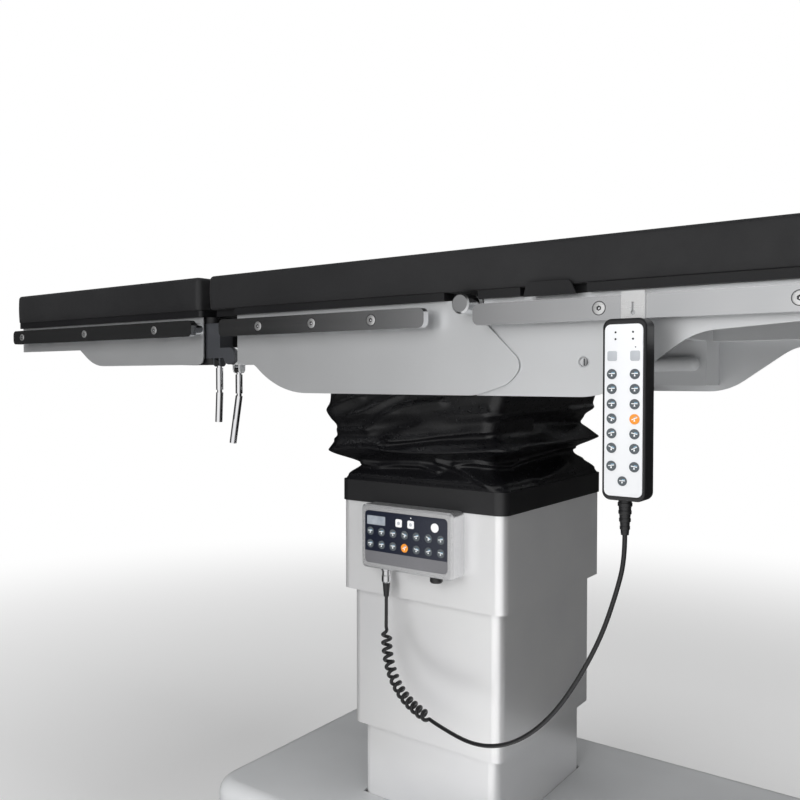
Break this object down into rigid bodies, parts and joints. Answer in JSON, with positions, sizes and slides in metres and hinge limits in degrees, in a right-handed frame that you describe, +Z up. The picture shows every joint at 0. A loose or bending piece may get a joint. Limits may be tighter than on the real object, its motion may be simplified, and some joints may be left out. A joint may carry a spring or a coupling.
{
  "type": "operating table",
  "caption": "Powered operating table: jointed padded top with side rails on a covered lift column, with a column key panel and a corded handset hung on the rail.",
  "frame": {"origin": "on the floor, on the lift column's vertical axis", "axes": "+X towards the head end of the tabletop, -Y towards the handset's side, +Z up"},
  "size_m": [1.98, 0.5826, 0.953],
  "materials": {
    "steel_cover": "satin, long-grain brushed sheet",
    "column_steel": "fine vertical-grain brushed sheet",
    "rail_steel": "bright drawn bar",
    "bright_pin": "polished",
    "frame_paint": "light grey, satin",
    "dark_paint": "dark grey, satin",
    "post_steel": "dark grey, satin",
    "plate_black": "black, matt",
    "mattress_cover": "charcoal coated cloth, matt",
    "bellows_rubber": "black, soft sheen",
    "band_black": "black, satin",
    "base_shell": "light grey, satin",
    "wheel_grey": "dark grey tread",
    "foot_black": "black, matt",
    "panel_silver": "silver, satin",
    "panel_sheet": "dark navy membrane",
    "socket_black": "black",
    "plug_chrome": "polished, with a black boot",
    "cord_black": "black, satin",
    "handset_black": "black, satin",
    "handset_sheet": "white membrane",
    "hook_steel": "satin"
  },
  "bodies": {
    "base": {"base_chassis": "dark_paint", "base_cover": "base_shell", "lift_post_lower": "post_steel", "cover_lower": "column_steel"},
    "floor_feet": {"floor_feet": "foot_black"},
    "column_middle": {"lift_post_middle": "post_steel", "cover_middle": "column_steel"},
    "column_top": {"lift_post_upper": "post_steel", "cover_upper": "column_steel", "column_head": "dark_paint", "bellows_band": "band_black", "bellows_lower": "bellows_rubber", "panel_housing": "panel_silver", "panel_keys": "panel_sheet", "spare_socket": "socket_black", "cord_plug": "plug_chrome", "cord_curl": "cord_black"},
    "yoke": {"tilt_block": "dark_paint"},
    "carriage": {"carriage": "frame_paint", "bellows_upper": "bellows_rubber"},
    "seat": {"seat_frame": "frame_paint", "seat_covers": "steel_cover", "seat_plate": "plate_black", "seat_mattress": "mattress_cover", "seat_rails": "rail_steel", "back_pivots": "bright_pin", "mattress_bend": "mattress_cover"},
    "back": {"back_frame": "frame_paint", "back_covers": "steel_cover", "back_plate": "plate_black", "back_mattress": "mattress_cover", "back_rails": "rail_steel", "handset_case": "handset_black", "handset_keys": "handset_sheet", "handset_hook": "hook_steel", "cord_lead": "cord_black"},
    "head": {"head_frame": "plate_black", "head_mattress": "mattress_cover"},
    "swivel_foot_left": {"caster_fork_foot_left": "bright_pin"},
    "wheel_foot_left": {"caster_wheel_foot_left": "wheel_grey"},
    "swivel_foot_right": {"caster_fork_foot_right": "bright_pin"},
    "wheel_foot_right": {"caster_wheel_foot_right": "wheel_grey"},
    "swivel_head_left": {"caster_fork_head_left": "bright_pin"},
    "wheel_head_left": {"caster_wheel_head_left": "wheel_grey"},
    "swivel_head_right": {"caster_fork_head_right": "bright_pin"},
    "wheel_head_right": {"caster_wheel_head_right": "wheel_grey"},
    "leg_knuckle_left": {"leg_knuckle_left": "dark_paint"},
    "leg_left": {"leg_frame_left": "plate_black", "leg_cover_left": "steel_cover", "leg_mattress_left": "mattress_cover", "leg_rail_left": "rail_steel"},
    "leg_lever_left": {"leg_lever_left": "bright_pin"},
    "seat_lever_left": {"seat_lever_left": "bright_pin"},
    "leg_knuckle_right": {"leg_knuckle_right": "dark_paint"},
    "leg_right": {"leg_frame_right": "plate_black", "leg_cover_right": "steel_cover", "leg_mattress_right": "mattress_cover", "leg_rail_right": "rail_steel"},
    "leg_lever_right": {"leg_lever_right": "bright_pin"},
    "seat_lever_right": {"seat_lever_right": "bright_pin"}
  },
  "joints": [
    {"name": "feet_retract", "type": "slide", "parent": "base", "child": "floor_feet", "axis": [0, 0, 1], "range_m": [0, 0.012]},
    {"name": "swivel_foot_left", "type": "hinge", "parent": "base", "child": "swivel_foot_left", "pos_m": [-0.215, -0.145, 0.112], "axis": [0, 0, 1], "continuous": true},
    {"name": "roll_foot_left", "type": "hinge", "parent": "swivel_foot_left", "child": "wheel_foot_left", "pos_m": [-0.24, -0.145, 0.051], "axis": [0, 1, 0], "continuous": true},
    {"name": "swivel_foot_right", "type": "hinge", "parent": "base", "child": "swivel_foot_right", "pos_m": [-0.215, 0.145, 0.112], "axis": [0, 0, 1], "continuous": true},
    {"name": "roll_foot_right", "type": "hinge", "parent": "swivel_foot_right", "child": "wheel_foot_right", "pos_m": [-0.24, 0.145, 0.051], "axis": [0, 1, 0], "continuous": true},
    {"name": "swivel_head_left", "type": "hinge", "parent": "base", "child": "swivel_head_left", "pos_m": [0.515, -0.145, 0.112], "axis": [0, 0, 1], "continuous": true},
    {"name": "roll_head_left", "type": "hinge", "parent": "swivel_head_left", "child": "wheel_head_left", "pos_m": [0.49, -0.145, 0.051], "axis": [0, 1, 0], "continuous": true},
    {"name": "swivel_head_right", "type": "hinge", "parent": "base", "child": "swivel_head_right", "pos_m": [0.515, 0.145, 0.112], "axis": [0, 0, 1], "continuous": true},
    {"name": "roll_head_right", "type": "hinge", "parent": "swivel_head_right", "child": "wheel_head_right", "pos_m": [0.49, 0.145, 0.051], "axis": [0, 1, 0], "continuous": true},
    {"name": "lift", "type": "slide", "parent": "base", "child": "column_top", "axis": [0, 0, 1], "range_m": [-0.16, 0.09]},
    {"name": "lift_middle", "type": "slide", "parent": "base", "child": "column_middle", "axis": [0, 0, 1], "range_m": [-0.096, 0.054]},
    {"name": "pitch", "type": "hinge", "parent": "column_top", "child": "yoke", "pos_m": [0, 0, 0.71], "axis": [0, 1, 0], "range_deg": [-25, 25], "deforming": ["bellows_lower"]},
    {"name": "side_tilt", "type": "hinge", "parent": "yoke", "child": "carriage", "pos_m": [0, 0, 0.71], "axis": [1, 0, 0], "range_deg": [-18, 18], "deforming": ["bellows_upper"]},
    {"name": "top_slide", "type": "slide", "parent": "carriage", "child": "seat", "axis": [-1, 0, 0], "range_m": [-0.18, 0.11]},
    {"name": "back_hinge", "type": "hinge", "parent": "seat", "child": "back", "pos_m": [0.144, 0, 0.8837], "axis": [0, -1, 0], "range_deg": [-40, 80], "deforming": ["mattress_bend", "cord_lead"]},
    {"name": "head_hinge", "type": "hinge", "parent": "back", "child": "head", "pos_m": [0.775, 0, 0.8837], "axis": [0, -1, 0], "range_deg": [-60, 30]},
    {"name": "leg_flex_left", "type": "hinge", "parent": "seat", "child": "leg_knuckle_left", "pos_m": [-0.292, -0.23, 0.829], "axis": [0, -1, 0], "range_deg": [-8, 90]},
    {"name": "leg_spread_left", "type": "hinge", "parent": "leg_knuckle_left", "child": "leg_left", "pos_m": [-0.342, -0.232, 0.853], "axis": [0, 0, 1], "range_deg": [0, 45]},
    {"name": "leg_lever_left", "type": "hinge", "parent": "leg_knuckle_left", "child": "leg_lever_left", "pos_m": [-0.32, -0.238, 0.819], "axis": [-1, 0, 0], "range_deg": [0, 40]},
    {"name": "seat_lever_left", "type": "hinge", "parent": "seat", "child": "seat_lever_left", "pos_m": [-0.31, -0.207, 0.809], "axis": [1, 0, 0], "range_deg": [0, 40]},
    {"name": "leg_flex_right", "type": "hinge", "parent": "seat", "child": "leg_knuckle_right", "pos_m": [-0.292, 0.23, 0.829], "axis": [0, -1, 0], "range_deg": [-8, 90]},
    {"name": "leg_spread_right", "type": "hinge", "parent": "leg_knuckle_right", "child": "leg_right", "pos_m": [-0.342, 0.232, 0.853], "axis": [0, 0, -1], "range_deg": [0, 45]},
    {"name": "leg_lever_right", "type": "hinge", "parent": "leg_knuckle_right", "child": "leg_lever_right", "pos_m": [-0.32, 0.238, 0.819], "axis": [1, 0, 0], "range_deg": [0, 40]},
    {"name": "seat_lever_right", "type": "hinge", "parent": "seat", "child": "seat_lever_right", "pos_m": [-0.31, 0.207, 0.809], "axis": [-1, 0, 0], "range_deg": [0, 40]}
  ],
  "couplings": [
    {"joint": "lift_middle", "follows": "lift", "ratio": 0.6}
  ]
}
